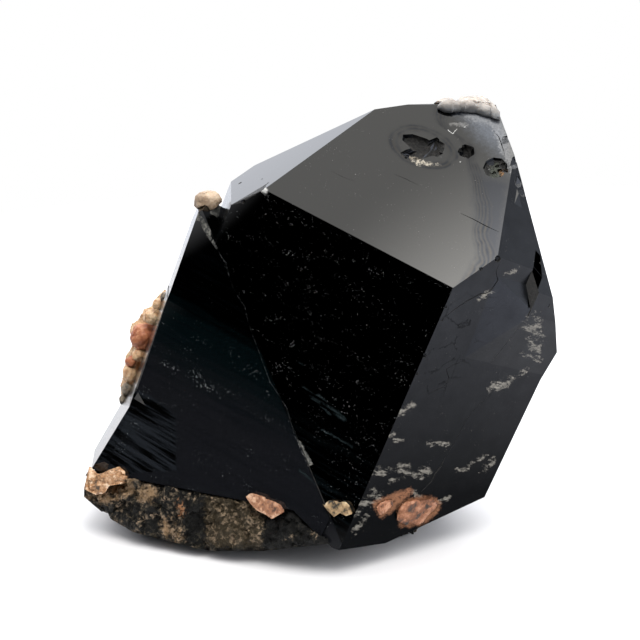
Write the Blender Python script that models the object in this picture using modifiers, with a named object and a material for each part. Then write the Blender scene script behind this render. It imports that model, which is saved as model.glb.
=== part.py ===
"""Morion quartz point: a black smoky quartz crystal leaning on a lump of its matrix.

Every size is in millimetres and becomes metres when a solid is finished. A flat crystal face is written as
(azimuth, slope, distance): the azimuth of its normal about the c axis, the angle of its normal from the c
axis, and its distance from the corner where the front, right and top faces meet. Prism faces have a slope
near 90 degrees and rhombohedral faces one near 52 degrees. In the crystal's own frame x leaves the front
face, z is the c axis, and that corner is the origin.
"""
import math
import random

import bmesh
import bpy
from mathutils import Euler, Matrix, Vector, noise

MM = 0.001
GAP = 0.3
BLOCK = 260.0
BLOCK_STEP = 6.0

# How the crystal stands on the floor
CORNER_HEIGHT = 58.7
CORNER_ACROSS = 25.5
CORNER_BACK = -25.0
LEAN_DEGREES = (-20.98, -9.33, -112.52)

# Faces of the main crystal
FRONT = (0.0, 90.0, 0.0)
RIGHT = (58.8, 88.9, 0.0)
RIGHT_BACK = (119.9, 90.0, 29.6)
BACK = (180.0, 90.0, 46.0)
LEFT_BACK = (240.0, 90.0, 56.8)
LEFT = (300.0, 92.3, 46.7)
MAIN_LEFT = (300.0, 90.0, 41.2)
TOP = (0.6, 50.8, 0.0)
TOP_RIGHT = (60.7, 50.2, 5.1)
TOP_RIGHT_BACK = (119.5, 54.0, 19.6)
TOP_BACK = (180.0, 51.8, 41.0)
TOP_LEFT_BACK = (239.7, 49.4, 43.6)
TOP_LEFT = (303.0, 52.7, 28.6)

# The seam between the main crystal and the left individual, on the front face
SEAM_TOP = (0.0, -47.7, -13.5)
SEAM_FOOT = (0.0, -4.9, -49.5)
SEAM_LEDGE_DEGREES = 35.0

# The lower end of the edge between the front and right faces, which the seam stops short of
KEEL = (
    (0.0, 90.0, -0.05),
    (58.8, 88.9, -0.05),
    (270.0, 90.0, 3.0),
    (0.0, 0.0, -42.0),
    (180.0, 90.0, 36.0),
    (119.9, 90.0, 27.6),
)

# The left individual, grown in the same lattice
LEFT_FRONT = (0.0, 90.0, -0.5)
LEFT_TIP = ((0.0, 52.0, -5.9), (300.0, 52.0, 30.6), (240.0, 50.0, 34.0))
LEFT_BURIED = ((90.0, 90.0, -2.0), (180.0, 90.0, 44.0), (240.0, 90.0, 55.6), (180.0, 51.8, 39.0))
LEFT_FLARE = (0.0, 87.5, -1.75)
FLARE_TOP = (0.0, 0.0, -28.5)
FLARE_LEFT = (300.0, 92.3, 46.82)
FLARE_BURIED = ((90.0, 90.0, -3.0), (180.0, 90.0, 26.0), (240.0, 90.0, 54.8))
FLARE_OVERLAP = 0.1
HEEL = ((0.0, 90.0, 0.45), (300.0, 81.9, 36.9), (330.0, 40.0, -20.6))
HEEL_BURIED = ((70.0, 33.6, -67.0), (180.0, 90.0, 32.0), (240.0, 90.0, 56.2))

# The small overgrowth that stands proud of the right face
PROUD_STEP = (0.0, 90.0, -15.2)
PROUD_FACE = (58.8, 88.9, 2.55)
PROUD_TOP = (58.8, 60.0, 5.4)
PROUD_FOOT = (58.8, 101.0, 2.69)
PROUD_SIDES = ((119.9, 90.0, 29.75), (119.5, 54.0, 19.75))
PROUD_BURIED = ((180.0, 90.0, 34.0), (270.0, 90.0, 4.0), (0.6, 50.8, -1.0), (60.7, 50.2, 4.9))

# The low ramp that meets the overgrowth's step at its lower end
RAMP = ((58.8, 58.0, 2.2), (58.8, 88.9, 2.52), (58.8, 101.0, 2.66), (45.0, 90.0, -2.3))
RAMP_BURIED = ((180.0, 90.0, 21.0), (270.0, 90.0, 3.0), (0.6, 50.8, -1.6), (119.5, 54.0, 18.1))

# A flat individual on the hidden back
REAR = ((120.0, 90.0, 8.0), (180.0, 90.0, 49.4), (240.0, 90.0, 56.0), (300.0, 92.3, 43.7))
REAR_CROWN = ((180.0, 51.8, 31.0), (240.0, 51.8, 31.0), (120.0, 51.8, -2.0))
REAR_BURIED = ((0.0, 90.0, -20.0),)

# The broken tip and foot of the crystal, in the frame of the floor
TIP_HEIGHT = 89.2
BASE_LEFT_HEIGHT = 14.6
BASE_LEFT_AT = -48.0
BASE_LEFT_SLOPE = 0.155
BASE_KEEL_AT = 14.0
BASE_RIGHT_SLOPE = 0.22
STEP_HEIGHT = 14.5
STEP_SLOPE = 0.035
STEP_SIDE_POINT = (2.0, 0.0, 7.7)
STEP_SIDE_NORMAL = (0.642, 0.0, 0.767)

# Pits sunk in the top face: (across, up the face, half length, half width, depth)
PITS = (
    (-21.6, 25.4, 4.8, 1.9, 1.3),
    (-13.5, 28.2, 1.5, 1.3, 1.1),
    (-6.6, 28.0, 2.4, 2.6, 0.9),
)

# The matrix: planes of its block as (turn about z, tilt above the horizontal, distance from its middle)
MATRIX_MIDDLE = (-12.0, 2.0, 8.0)
MATRIX_SIDES = (
    (-112.5, 9.3, 19.6),
    (180.0, 0.0, 37.4),
    (180.0, -48.7, 22.3),
    (-81.4, -62.9, 14.0),
    (-35.0, -45.0, 25.6),
    (-56.5, -13.0, 29.6),
    (10.0, -25.0, 32.0),
    (68.0, -9.0, 30.0),
    (123.6, 13.0, 28.4),
    (177.5, 30.9, 31.6),
    (0.0, 81.2, 2.6),
)
MATRIX_STEP = MATRIX_SIDES[1:-1] + (
    (-112.5, 9.3, 20.1),
    (0.0, 88.0, 5.9),
    (0.0, 50.1, 9.3),
)
MATRIX_RIDGE = (
    (177.5, 30.9, 31.6),
    (123.6, 13.0, 30.0),
    (68.0, -9.0, 31.8),
    (100.0, 62.0, 29.0),
    (5.0, 15.0, 29.0),
    (185.0, 25.0, 26.5),
    (20.0, -30.0, 31.0),
    (-90.0, 0.0, -10.0),
)
MATRIX_VOXEL = 1.9
MATRIX_KEEP = 0.4
MATRIX_ROUGH = 1.5

# Lumps that the matrix adds to its blocks: (centre, half sizes)
MATRIX_LUMPS = (
    ((-16.6, -14.6, 3.2), (4.0, 3.4, 3.6)),
    ((-45.0, -2.0, 10.0), (4.6, 4.6, 5.0)),
    ((-31.0, 20.0, 20.0), (7.0, 5.5, 7.0)),
    ((-12.0, 30.5, 22.0), (7.0, 5.0, 8.0)),
    ((6.0, 30.0, 14.0), (7.0, 5.0, 8.0)),
    ((19.0, 22.0, 7.0), (7.0, 6.0, 6.0)),
)

# Feldspar: (centre, half sizes) of the rounded grains that fuse into each clump
LEFT_CLUSTER = (
    ((-32.2, 10.4, 47.8), (1.6, 2.8, 1.7)),
    ((-33.2, 11.4, 46.0), (2.0, 2.8, 2.0)),
    ((-35.4, 11.8, 43.0), (2.9, 3.3, 2.6)),
    ((-37.6, 11.8, 39.4), (3.3, 3.6, 3.2)),
    ((-38.3, 11.8, 35.2), (2.5, 3.2, 2.2)),
    ((-40.2, 12.0, 33.6), (2.0, 2.8, 1.9)),
    ((-40.6, 12.0, 30.2), (2.5, 3.0, 2.6)),
    ((-41.4, 12.0, 26.4), (2.2, 2.8, 2.9)),
)
CRUST_FROM = (-32.0, 11.5, 47.0)
CRUST_TO = (-40.5, 13.0, 23.0)
CRUST_INWARD = (0.833, 0.553, 0.0)
CRUST_ROWS = 4
CRUST_GRAINS = 6
CRUST_STEP = 3.4
CRUST_HALF = (2.0, 3.3)
CRUST_SEED = 11
TIP_NODULE = (
    ((-21.8, 2.6, 70.2), (2.7, 2.6, 2.2)),
    ((-20.0, 3.4, 70.6), (1.9, 2.0, 1.7)),
    ((-23.4, 3.4, 69.2), (1.5, 1.8, 1.4)),
)
TIP_CRUST = (
    ((25.4, 8.0, 88.8), (2.2, 2.4, 1.3)),
    ((28.8, 8.2, 89.2), (2.6, 2.7, 1.5)),
    ((32.4, 7.8, 89.1), (2.6, 2.7, 1.6)),
    ((34.9, 6.0, 88.0), (2.1, 2.5, 1.7)),
    ((36.4, 3.0, 86.0), (1.4, 2.1, 1.7)),
    ((27.2, 4.6, 88.7), (2.8, 1.4, 1.3)),
    ((31.0, 4.4, 88.7), (2.9, 1.5, 1.4)),
    ((34.8, 3.6, 87.8), (2.2, 1.5, 1.5)),
)
CORNER_CRUST = (
    ((-46.0, -5.0, 13.8), (3.8, 2.6, 2.6)),
    ((-41.6, -6.6, 14.4), (3.6, 2.0, 1.8)),
    ((-43.6, -6.6, 12.0), (4.2, 2.0, 1.9)),
)
LEFT_GRAIN = (
    ((-11.8, -19.6, 13.4), (2.6, 1.7, 2.0)),
    ((-8.4, -20.8, 12.2), (2.9, 1.7, 2.1)),
)
MIDDLE_GRAIN = (
    ((3.2, -25.0, 14.2), (2.1, 1.5, 1.8)),
    ((5.8, -25.8, 14.8), (1.9, 1.4, 1.8)),
)
RIGHT_GRAIN = (
    ((13.2, -22.0, 14.0), (2.3, 1.5, 1.7)),
)
RIGHT_PATCH = (
    ((18.4, -18.6, 11.6), (3.2, 1.8, 2.4)),
    ((22.4, -16.2, 11.8), (3.2, 1.7, 2.2)),
    ((20.0, -17.0, 9.2), (2.6, 1.6, 1.9)),
)
FELDSPAR_VOXEL = 0.8
FELDSPAR_KEEP = 0.36
GRAIN_ROUGH = 0.35
FELDSPAR_ROOM = 0.4


def lattice_to_floor():
    """The matrix that turns the crystal's own frame into the frame of the floor, both in millimetres."""
    turn = Euler([math.radians(angle) for angle in LEAN_DEGREES], "XYZ").to_matrix().to_4x4()
    return Matrix.Translation((CORNER_ACROSS, CORNER_BACK, CORNER_HEIGHT)) @ turn


def face_normal(azimuth, slope):
    """Unit normal of a crystal face from its two angles in degrees."""
    around = math.radians(azimuth)
    down = math.radians(slope)
    return Vector((math.sin(down) * math.cos(around), math.sin(down) * math.sin(around), math.cos(down)))


def slice_off(form, point, normal):
    """Removes what lies beyond a plane and closes the cut."""
    parts = form.verts[:] + form.edges[:] + form.faces[:]
    cut = bmesh.ops.bisect_plane(form, geom=parts, dist=1e-5, plane_co=point, plane_no=normal, clear_outer=True)
    rim = [part for part in cut["geom_cut"] if isinstance(part, bmesh.types.BMEdge)]
    if rim:
        bmesh.ops.edgeloop_fill(form, edges=rim)


def block_between(faces, grow, size):
    """A closed convex block inside all the faces, in the crystal's own frame."""
    form = bmesh.new()
    bmesh.ops.create_cube(form, size=size)
    for azimuth, slope, distance in faces:
        normal = face_normal(azimuth, slope)
        slice_off(form, normal * (distance + grow), normal)
    return form


def new_object(name, form, collection):
    """Puts a form, given in millimetres, in a named object in metres."""
    bmesh.ops.recalc_face_normals(form, faces=form.faces[:])
    bmesh.ops.scale(form, vec=(MM, MM, MM), verts=form.verts[:])
    mesh = bpy.data.meshes.new(name)
    form.to_mesh(mesh)
    form.free()
    piece = bpy.data.objects.new(name, mesh)
    collection.objects.link(piece)
    return piece


def settle_mesh(piece):
    """Replaces a piece's mesh by its evaluated mesh and clears its modifiers."""
    bpy.context.view_layer.update()
    evaluated = piece.evaluated_get(bpy.context.evaluated_depsgraph_get())
    mesh = bpy.data.meshes.new_from_object(evaluated)
    piece.modifiers.clear()
    piece.data = mesh


def combine(piece, other, operation):
    """Joins another closed piece to this one or cuts it away."""
    step = piece.modifiers.new(operation.lower(), "BOOLEAN")
    step.operation = operation
    step.solver = "EXACT"
    step.object = other
    settle_mesh(piece)


def cut_plane(piece, point, normal):
    """Cuts a finished piece with a plane given in millimetres."""
    form = bmesh.new()
    form.from_mesh(piece.data)
    slice_off(form, Vector(point) * MM, Vector(normal))
    bmesh.ops.recalc_face_normals(form, faces=form.faces[:])
    form.to_mesh(piece.data)
    form.free()


def break_foot(crystal, grow):
    """Cuts the foot of the crystal to its two broken planes, and the step on its left."""
    keel_height = BASE_LEFT_HEIGHT - BASE_LEFT_SLOPE * (BASE_KEEL_AT - BASE_LEFT_AT)
    left = Vector((-BASE_LEFT_SLOPE, 0.0, -1.0)).normalized()
    right = Vector((BASE_RIGHT_SLOPE, 0.0, -1.0)).normalized()
    cut_plane(crystal, Vector((BASE_LEFT_AT, 0.0, BASE_LEFT_HEIGHT)) + left * grow, left)
    cut_plane(crystal, Vector((BASE_KEEL_AT, 0.0, keel_height)) + right * grow, right)
    form = bmesh.new()
    bmesh.ops.create_cube(form, size=BLOCK)
    top = Vector((STEP_SLOPE, 0.0, 1.0)).normalized()
    side = Vector(STEP_SIDE_NORMAL).normalized()
    slice_off(form, Vector((BASE_LEFT_AT, 0.0, STEP_HEIGHT)) - top * grow, top)
    slice_off(form, Vector(STEP_SIDE_POINT) - side * grow, side)
    step = new_object("foot_step", form, crystal.users_collection[0])
    combine(crystal, step, "DIFFERENCE")
    bpy.data.objects.remove(step)


def across_seam():
    """Direction on the front face from the main crystal across the seam to the left individual."""
    along = (Vector(SEAM_FOOT) - Vector(SEAM_TOP)).normalized()
    return along.cross(Vector((1.0, 0.0, 0.0)))


def main_block(grow, size):
    """The main crystal, with the ledge of the seam on its front."""
    crown = (TOP, TOP_RIGHT, TOP_RIGHT_BACK, TOP_BACK, TOP_LEFT_BACK, TOP_LEFT)
    form = block_between((FRONT, RIGHT, RIGHT_BACK, BACK, LEFT_BACK, MAIN_LEFT) + crown, grow, size)
    tilt = math.radians(SEAM_LEDGE_DEGREES)
    ledge = across_seam() * math.cos(tilt) + Vector((math.sin(tilt), 0.0, 0.0))
    slice_off(form, Vector(SEAM_TOP) + ledge * grow, ledge)
    return form


def keel_block(grow, size):
    """The foot of the front right edge."""
    return block_between(KEEL, grow, size)


def left_block(grow, size):
    """The left individual: its own tip, its front set back a little."""
    form = block_between((LEFT_FRONT, LEFT) + LEFT_BURIED + LEFT_TIP, grow, size)
    slice_off(form, Vector(SEAM_TOP), across_seam() * -1.0)
    return form


def flare_block(grow, size):
    """The lower part of the left individual's front, which leans forward by a few degrees."""
    form = block_between((LEFT_FLARE, FLARE_TOP, FLARE_LEFT) + FLARE_BURIED, grow, size)
    slice_off(form, Vector(SEAM_TOP) + across_seam() * FLARE_OVERLAP, across_seam() * -1.0)
    return form


def heel_block(grow, size):
    """The flared lower left corner of the left individual."""
    return block_between(HEEL + HEEL_BURIED, grow, size)


def proud_block(grow, size):
    """The overgrowth on the right face, with a step that faces forward."""
    faces = (PROUD_STEP, PROUD_FACE, PROUD_TOP, PROUD_FOOT) + PROUD_SIDES
    return block_between(faces + PROUD_BURIED, grow, size)


def ramp_block(grow, size):
    """The ramp beside the overgrowth."""
    return block_between(RAMP + RAMP_BURIED, grow, size)


def rear_block(grow, size):
    """A flat individual on the back of the crystal."""
    return block_between(REAR + REAR_CROWN + REAR_BURIED, grow, size)


def make_crystal(name, collection, grow=0.0):
    """All the individuals of the crystal, joined in one solid, with their broken foot."""
    blocks = (main_block, keel_block, left_block, flare_block, heel_block, proud_block, ramp_block, rear_block)
    whole = None
    for number, block in enumerate(blocks):
        form = block(grow, BLOCK + BLOCK_STEP * number)
        bmesh.ops.transform(form, matrix=lattice_to_floor(), verts=form.verts[:])
        piece = new_object(f"{name}_{number}", form, collection)
        if whole is None:
            whole = piece
            continue
        combine(whole, piece, "UNION")
        bpy.data.objects.remove(piece)
    break_foot(whole, grow)
    cut_plane(whole, (0.0, 0.0, TIP_HEIGHT + grow), (0.0, 0.0, 1.0))
    whole.name = name
    return whole


def on_top_face(across, up):
    """A point on the large top face in the frame of the floor, with the face's upward and normal directions."""
    normal = face_normal(TOP[0], TOP[1])
    sideways = Vector((0.0, 1.0, 0.0))
    upward = normal.cross(sideways)
    if upward.z < 0.0:
        upward.negate()
    return lattice_to_floor() @ (sideways * across + upward * up), upward, normal


def sink_pits(crystal, cutters):
    """Cuts the shallow angular pits in the top face."""
    turn = lattice_to_floor().to_3x3()
    for number, (across, up, long_half, wide_half, depth) in enumerate(PITS):
        centre, upward, normal = on_top_face(across, up)
        form = bmesh.new()
        bmesh.ops.create_uvsphere(form, u_segments=9, v_segments=6, radius=1.0)
        bmesh.ops.scale(form, vec=(long_half, wide_half, depth), verts=form.verts[:])
        axes = Matrix((Vector((0.0, 1.0, 0.0)), upward, normal)).transposed()
        if axes.determinant() < 0.0:
            axes.col[0].negate()
        place = Matrix.Translation(centre) @ (turn @ axes).to_4x4()
        bmesh.ops.transform(form, matrix=place, verts=form.verts[:])
        pit = new_object(f"pit_{number}", form, cutters)
        combine(crystal, pit, "DIFFERENCE")
        bpy.data.objects.remove(pit)


def rounded_lump(form, centre, half_sizes):
    """Adds an ellipsoid to a form."""
    made = bmesh.ops.create_icosphere(form, subdivisions=3, radius=1.0)
    bmesh.ops.scale(form, vec=half_sizes, verts=made["verts"])
    bmesh.ops.translate(form, vec=centre, verts=made["verts"])


def fuse(piece, voxel, keep):
    """Melts the overlapping forms of a piece into one skin, and keeps a share of its faces."""
    melt = piece.modifiers.new("melt", "REMESH")
    melt.mode = "VOXEL"
    melt.voxel_size = voxel * MM
    melt.adaptivity = 0.0
    settle_mesh(piece)
    thin = piece.modifiers.new("thin", "DECIMATE")
    thin.ratio = keep
    settle_mesh(piece)


def roughen(piece, height, size, seed):
    """Moves each point along its normal by two sizes of noise, both in millimetres."""
    offset = Vector((seed * 7.3, seed * 3.1, seed * 5.7))
    normals = [Vector(vertex.normal) for vertex in piece.data.vertices]
    for vertex, normal in zip(piece.data.vertices, normals):
        place = vertex.co / MM / size + offset
        coarse = noise.noise(place)
        fine = noise.noise(place * 2.6)
        vertex.co += normal * (coarse + 0.45 * fine) * height * MM


def rock_block(form, sides):
    """Adds a broken block of rock to a form."""
    block = bmesh.new()
    bmesh.ops.create_cube(block, size=BLOCK)
    middle = Vector(MATRIX_MIDDLE)
    for turn, tilt, distance in sides:
        around = math.radians(turn)
        down = math.radians(tilt)
        normal = Vector((math.cos(around) * math.cos(down), math.sin(around) * math.cos(down), math.sin(down)))
        slice_off(block, middle + normal * distance, normal)
    slice_off(block, Vector((0.0, 0.0, -2.0 * MATRIX_VOXEL)), Vector((0.0, 0.0, -1.0)))
    mesh = bpy.data.meshes.new("block")
    block.to_mesh(mesh)
    block.free()
    form.from_mesh(mesh)
    bpy.data.meshes.remove(mesh)


def crust_grains():
    """Grains that spread the left cluster over the hidden left back face, row by row."""
    chance = random.Random(CRUST_SEED)
    start = Vector(CRUST_FROM)
    stretch = Vector(CRUST_TO) - start
    inward = Vector(CRUST_INWARD)
    grains = []
    for row in range(1, CRUST_ROWS + 1):
        for number in range(CRUST_GRAINS):
            share = (number + chance.uniform(0.1, 0.9)) / CRUST_GRAINS
            centre = start + stretch * share + inward * (CRUST_STEP * (row + chance.uniform(-0.3, 0.3)))
            half = chance.uniform(CRUST_HALF[0], CRUST_HALF[1])
            grains.append((centre, (half, half * chance.uniform(0.8, 1.1), half * chance.uniform(0.8, 1.2))))
    return tuple(grains)


def make_matrix(name, collection):
    """The lump of rock under the crystal, roughened and flat where it rests."""
    form = bmesh.new()
    rock_block(form, MATRIX_SIDES)
    rock_block(form, MATRIX_STEP)
    rock_block(form, MATRIX_RIDGE)
    for centre, half_sizes in MATRIX_LUMPS:
        rounded_lump(form, centre, half_sizes)
    piece = new_object(name, form, collection)
    fuse(piece, MATRIX_VOXEL, MATRIX_KEEP)
    roughen(piece, MATRIX_ROUGH, 6.0, 1.0)
    cut_plane(piece, (0.0, 0.0, 0.0), (0.0, 0.0, -1.0))
    return piece


def make_feldspar(name, grains, collection, seed, grow=0.0):
    """A fused clump of feldspar grains."""
    form = bmesh.new()
    for centre, half_sizes in grains:
        rounded_lump(form, centre, [half + grow for half in half_sizes])
    piece = new_object(name, form, collection)
    fuse(piece, FELDSPAR_VOXEL, FELDSPAR_KEEP)
    roughen(piece, GRAIN_ROUGH, 1.6, seed)
    return piece


def keep_largest(piece):
    """Keeps the largest separate body of a piece."""
    form = bmesh.new()
    form.from_mesh(piece.data)
    unseen = set(form.verts)
    islands = []
    while unseen:
        island = set()
        edge_of_search = [unseen.pop()]
        while edge_of_search:
            vertex = edge_of_search.pop()
            island.add(vertex)
            for edge in vertex.link_edges:
                other = edge.other_vert(vertex)
                if other in unseen:
                    unseen.remove(other)
                    edge_of_search.append(other)
        islands.append(island)
    islands.sort(key=len)
    for island in islands[:-1]:
        bmesh.ops.delete(form, geom=list(island), context="VERTS")
    bmesh.ops.recalc_face_normals(form, faces=form.faces[:])
    form.to_mesh(piece.data)
    form.free()


def make_material(name, red, green, blue, roughness):
    """A mineral's material."""
    material = bpy.data.materials.new(name)
    material.use_nodes = True
    shader = material.node_tree.nodes["Principled BSDF"]
    shader.inputs["Base Color"].default_value = (red, green, blue, 1.0)
    shader.inputs["Roughness"].default_value = roughness
    shader.inputs["Metallic"].default_value = 0.0
    return material


def stand_on_floor(pieces):
    """Moves all the pieces together, so that the origin is under the middle of the whole and on the floor."""
    corners = [vertex.co for piece in pieces for vertex in piece.data.vertices]
    low = Vector([min(corner[axis] for corner in corners) for axis in range(3)])
    high = Vector([max(corner[axis] for corner in corners) for axis in range(3)])
    shift = Vector(((low.x + high.x) / 2.0, (low.y + high.y) / 2.0, low.z))
    for piece in pieces:
        piece.data.transform(Matrix.Translation(-shift))


def main():
    for old in list(bpy.data.objects):
        bpy.data.objects.remove(old)
    collection = bpy.data.collections.new("morion_quartz_point")
    cutters = bpy.data.collections.new("cutters")
    for group in (collection, cutters):
        bpy.context.scene.collection.children.link(group)

    crystal = make_crystal("quartz_crystal", collection)
    sink_pits(crystal, cutters)
    room = make_crystal("room_for_crystal", cutters, GAP)
    base = make_matrix("matrix_base", collection)
    combine(base, room, "DIFFERENCE")

    clumps = {
        "feldspar_cluster": LEFT_CLUSTER + crust_grains(),
        "feldspar_tip_nodule": TIP_NODULE,
        "feldspar_tip_crust": TIP_CRUST,
        "feldspar_corner": CORNER_CRUST,
        "feldspar_grain_left": LEFT_GRAIN,
        "feldspar_grain_middle": MIDDLE_GRAIN,
        "feldspar_grain_right": RIGHT_GRAIN,
        "feldspar_patch_right": RIGHT_PATCH,
    }
    feldspar = []
    for seed, (name, grains) in enumerate(clumps.items(), start=2):
        piece = make_feldspar(name, grains, collection, seed)
        combine(piece, room, "DIFFERENCE")
        keep_largest(piece)
        feldspar.append(piece)
        space = make_feldspar(f"room_for_{name}", grains, cutters, seed, FELDSPAR_ROOM)
        combine(base, space, "DIFFERENCE")
        bpy.data.objects.remove(space)
    keep_largest(base)
    bpy.data.objects.remove(room)

    crystal.data.materials.clear()
    crystal.data.materials.append(make_material("morion quartz", 0.006, 0.006, 0.007, 0.06))
    base.data.materials.clear()
    base.data.materials.append(make_material("granular matrix", 0.10, 0.09, 0.07, 0.85))
    pale = make_material("feldspar", 0.72, 0.50, 0.36, 0.7)
    for piece in feldspar:
        piece.data.materials.clear()
        piece.data.materials.append(pale)
    stand_on_floor([crystal, base] + feldspar)


main()
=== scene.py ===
"""Dresses the morion quartz point: glassy black crystal, granular matrix and feldspar, on a white floor."""
import math
import random

import bmesh
import bpy
from mathutils import Euler, Matrix, Vector, noise
from mathutils.bvhtree import BVHTree


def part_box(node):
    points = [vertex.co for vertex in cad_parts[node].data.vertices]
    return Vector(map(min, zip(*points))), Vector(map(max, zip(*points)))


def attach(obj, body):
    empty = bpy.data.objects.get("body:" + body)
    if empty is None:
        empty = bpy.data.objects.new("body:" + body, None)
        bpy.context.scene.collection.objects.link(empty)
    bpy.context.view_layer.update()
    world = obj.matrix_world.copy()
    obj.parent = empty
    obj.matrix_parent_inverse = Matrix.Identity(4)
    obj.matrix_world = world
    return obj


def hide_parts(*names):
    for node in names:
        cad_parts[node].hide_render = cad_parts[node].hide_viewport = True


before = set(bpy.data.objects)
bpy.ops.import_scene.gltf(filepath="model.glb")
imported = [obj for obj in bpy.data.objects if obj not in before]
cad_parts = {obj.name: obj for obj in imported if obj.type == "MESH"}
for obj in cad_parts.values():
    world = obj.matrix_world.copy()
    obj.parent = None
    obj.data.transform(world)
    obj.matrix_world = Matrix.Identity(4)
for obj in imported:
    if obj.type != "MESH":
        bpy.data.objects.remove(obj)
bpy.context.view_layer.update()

MM = 0.001

# The photograph's frame, and where its camera stood
HALF_FRAME = 320.0
FOCAL_PIXELS = 1300.0
SENSOR = 36.0
FLOOR_CENTRE = (0.07, 0.16, 0.0)
CAMERA_FROM_CORNER = Vector((-24.5, -233.0, 56.3))
CAMERA_TURN = Euler((math.radians(75.0), 0.0, 0.0))

# The crystal's own frame: x leaves the front face, z is the c axis, the origin is its front right top corner
LEAN = Euler([math.radians(angle) for angle in (-20.98, -9.33, -112.52)], "XYZ")
CORNER_FROM_HIGH_X = 23.15
CORNER_FROM_LOW_Y = 0.62
CORNER_FROM_HIGH_Z = 30.5
quartz_low, quartz_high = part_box("quartz_crystal")
CORNER = Vector(
    (
        quartz_high.x - CORNER_FROM_HIGH_X * MM,
        quartz_low.y + CORNER_FROM_LOW_Y * MM,
        quartz_high.z - CORNER_FROM_HIGH_Z * MM,
    )
)
CAMERA_PLACE = CORNER + CAMERA_FROM_CORNER * MM

# Up the top face, its normal and the right face's normal, in the crystal's frame
TOP_SLOPE = math.radians(50.8)
RIGHT_TURN = math.radians(58.8)
UP_TOP_FACE = Vector((-math.cos(TOP_SLOPE), 0.0, math.sin(TOP_SLOPE)))
TOP_NORMAL = Vector((math.sin(TOP_SLOPE), 0.0, math.cos(TOP_SLOPE)))
RIGHT_NORMAL = Vector((math.cos(RIGHT_TURN), math.sin(RIGHT_TURN), 0.0))
# In square metres: a face with more is a grown face, and one with less was left by a chip
WHOLE_FACE_AREA = 12e-6

# The seam between the main crystal and the left individual: two points of it in the crystal's frame
SEAM_TOP = Vector((0.0, -47.7, -13.5))
SEAM_FOOT = Vector((0.0, -4.9, -49.5))
# The height on the c axis, in millimetres, below which the left individual shows its teal haze
BAND_EDGE = -28.5
# How far a mark on the crystal reaches in from its face, in millimetres
MARK_DEPTH = 1.5

# Crack lines of the right face, by the pixels of the photograph that they pass
CRACK_HIGH = (
    (499, 264), (496, 272), (498, 280), (492, 289), (487, 293), (480, 294), (467, 301), (455, 309), (443, 319)
)
CRACK_MIDDLE = ((465, 361), (455, 364), (446, 369), (449, 378), (445, 386), (434, 391), (425, 396))
CRACK_LONG = ((501, 370), (491, 394), (481, 403), (472, 412), (465, 422), (460, 432), (453, 446), (446, 456))
CRACK_FOOT = ((446, 456), (441, 466), (435, 474), (431, 482), (421, 492))
# The crack and the scratches of the top face
CRACK_RIM = ((494, 132), (499, 137), (502, 146), (505, 155))
SCRATCH_RIGHT = ((460, 213), (473, 219), (486, 226), (499, 232))
SCRATCH_HIGH = ((394, 174), (406, 179), (418, 185))
SCRATCH_LEFT = ((331, 171), (343, 177), (356, 182))
# All of them with their half widths in millimetres
CRACKS = (
    (CRACK_HIGH, 0.12),
    (CRACK_MIDDLE, 0.08),
    (CRACK_LONG, 0.07),
    (CRACK_FOOT, 0.2),
    (CRACK_RIM, 0.1),
    (SCRATCH_RIGHT, 0.1),
    (SCRATCH_HIGH, 0.06),
    (SCRATCH_LEFT, 0.04),
)

# Scuffs of the right face: from this pixel to that one, with a half width in millimetres
SCUFFS = (
    ((531, 322), (537, 342), 2.1),
    ((521, 354), (541, 361), 0.5),
    ((538, 342), (538, 358), 0.6),
    ((492, 387), (508, 382), 1.2),
    ((512, 380), (528, 369), 0.7),
    ((398, 414), (412, 406), 0.8),
    ((362, 480), (376, 470), 1.1),
    ((372, 473), (408, 467), 1.0),
    ((404, 470), (422, 477), 0.6),
    ((391, 482), (402, 479), 0.8),
    ((385, 437), (393, 434), 0.6),
    ((394, 441), (402, 440), 0.5),
    ((429, 442), (447, 445), 0.7),
    ((421, 468), (430, 472), 0.8),
    ((458, 469), (468, 468), 0.7),
    ((472, 462), (486, 456), 0.6),
    ((482, 470), (491, 462), 1.2),
    ((357, 510), (372, 494), 1.4),
    ((356, 530), (366, 516), 0.9),
    ((372, 503), (382, 494), 0.8),
    ((478, 300), (492, 290), 0.7),
    ((505, 275), (520, 268), 0.5),
    ((366, 503), (378, 500), 1.0),
    ((414, 490), (420, 498), 0.6),
    ((438, 503), (449, 497), 0.7),
)

# Chips on the edges: the pixel where each sits, its radius in millimetres and the share of it that stands out
CHIPS = (
    ((498, 259), 0.8, 0.2),
    ((481, 269), 0.5, 0.2),
    ((243, 202), 0.6, 0.4),
    ((240, 183), 0.6, 0.4),
    ((268, 183), 0.35, 0.4),
    ((262, 179), 0.3, 0.5),
    ((446, 307), 0.35, 0.3),
    ((442, 320), 0.35, 0.3),
    ((425, 356), 0.5, 0.3),
    ((417, 374), 0.4, 0.3),
    ((404, 405), 0.3, 0.3),
    ((540, 262), 0.5, 0.4),
    ((549, 306), 0.4, 0.4),
    ((531, 222), 0.4, 0.4),
    ((136, 390), 0.35, 0.3),
    ((494, 174), 0.55, 0.5),
    ((500, 172), 0.6, 0.5),
    ((506, 172), 0.7, 0.55),
    ((497, 167), 0.5, 0.55),
    ((503, 165), 0.5, 0.5),
)

# The chipped rim beside the top face's right edge: its outline, and bites from the tip down
RIM_ZONE = ((488, 118), (499, 112), (512, 140), (524, 196), (517, 188), (509, 172), (502, 154), (493, 136))
RIM_BITES = (
    ((506, 140), 3.4, 0.9),
    ((513, 163), 3.0, 0.87),
    ((518, 182), 2.6, 0.86),
    ((522, 194), 1.8, 0.84),
)

# Outlines of two angular pits in the top face, in pixels, with their depth in millimetres
PITS = (
    (((399, 153), (406, 150), (437, 137), (446, 145), (443, 154), (429, 157), (418, 160), (404, 159)), 1.5),
    (((459, 149), (466, 144), (474, 147), (475, 154), (468, 159), (461, 156)), 1.6),
)
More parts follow.
